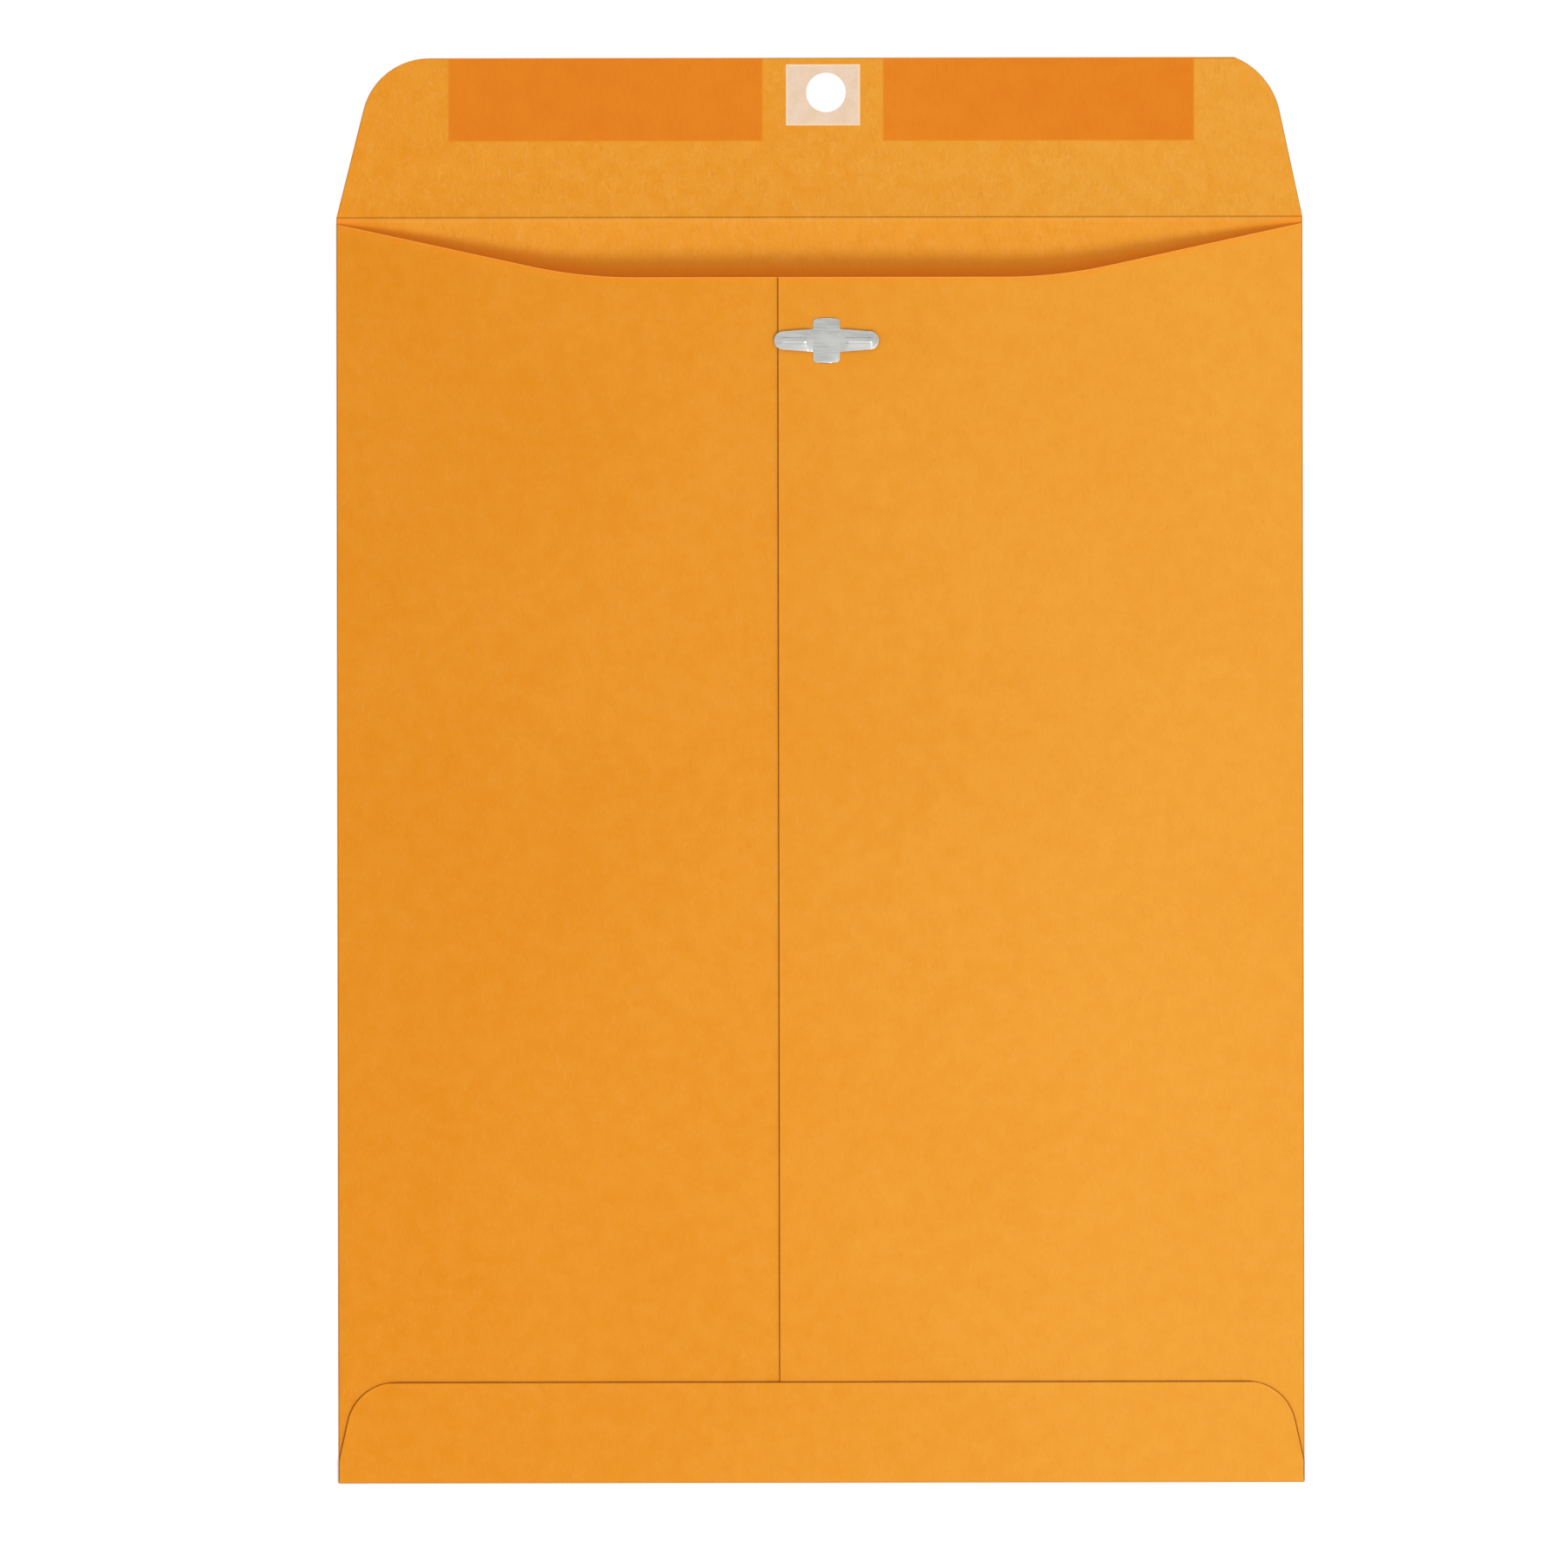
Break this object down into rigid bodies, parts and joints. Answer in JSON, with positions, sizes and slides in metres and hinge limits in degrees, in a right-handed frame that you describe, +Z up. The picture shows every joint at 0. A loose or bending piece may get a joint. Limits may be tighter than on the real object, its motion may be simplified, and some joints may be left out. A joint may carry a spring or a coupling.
{
  "type": "paper envelope",
  "caption": "Flat open-end envelope folded from one kraft sheet, back side up with the flap open: gummed flap with a patched clasp hole, bowed pocket and metal clasp.",
  "frame": {"origin": "on the table under the middle of the envelope's whole length, flap included", "axes": "+X across the envelope to the right as its back is seen, +Y from the bottom fold towards the open flap, +Z up, out of the back"},
  "size_m": [0.253, 0.3732, 0.0097],
  "materials": {
    "kraft_paper": "matte",
    "dried_gum": "satin",
    "patch_paper": "satin",
    "seam_glue": "satin",
    "tinned_metal": "satin"
  },
  "bodies": {
    "root": {"envelope_sheet": "kraft_paper", "gum_strip_left": "dried_gum", "gum_strip_right": "dried_gum", "reinforcement_patch": "patch_paper", "seam_glue": "seam_glue", "bottom_flap_glue": "seam_glue", "clasp": "tinned_metal"}
  },
  "joints": []
}
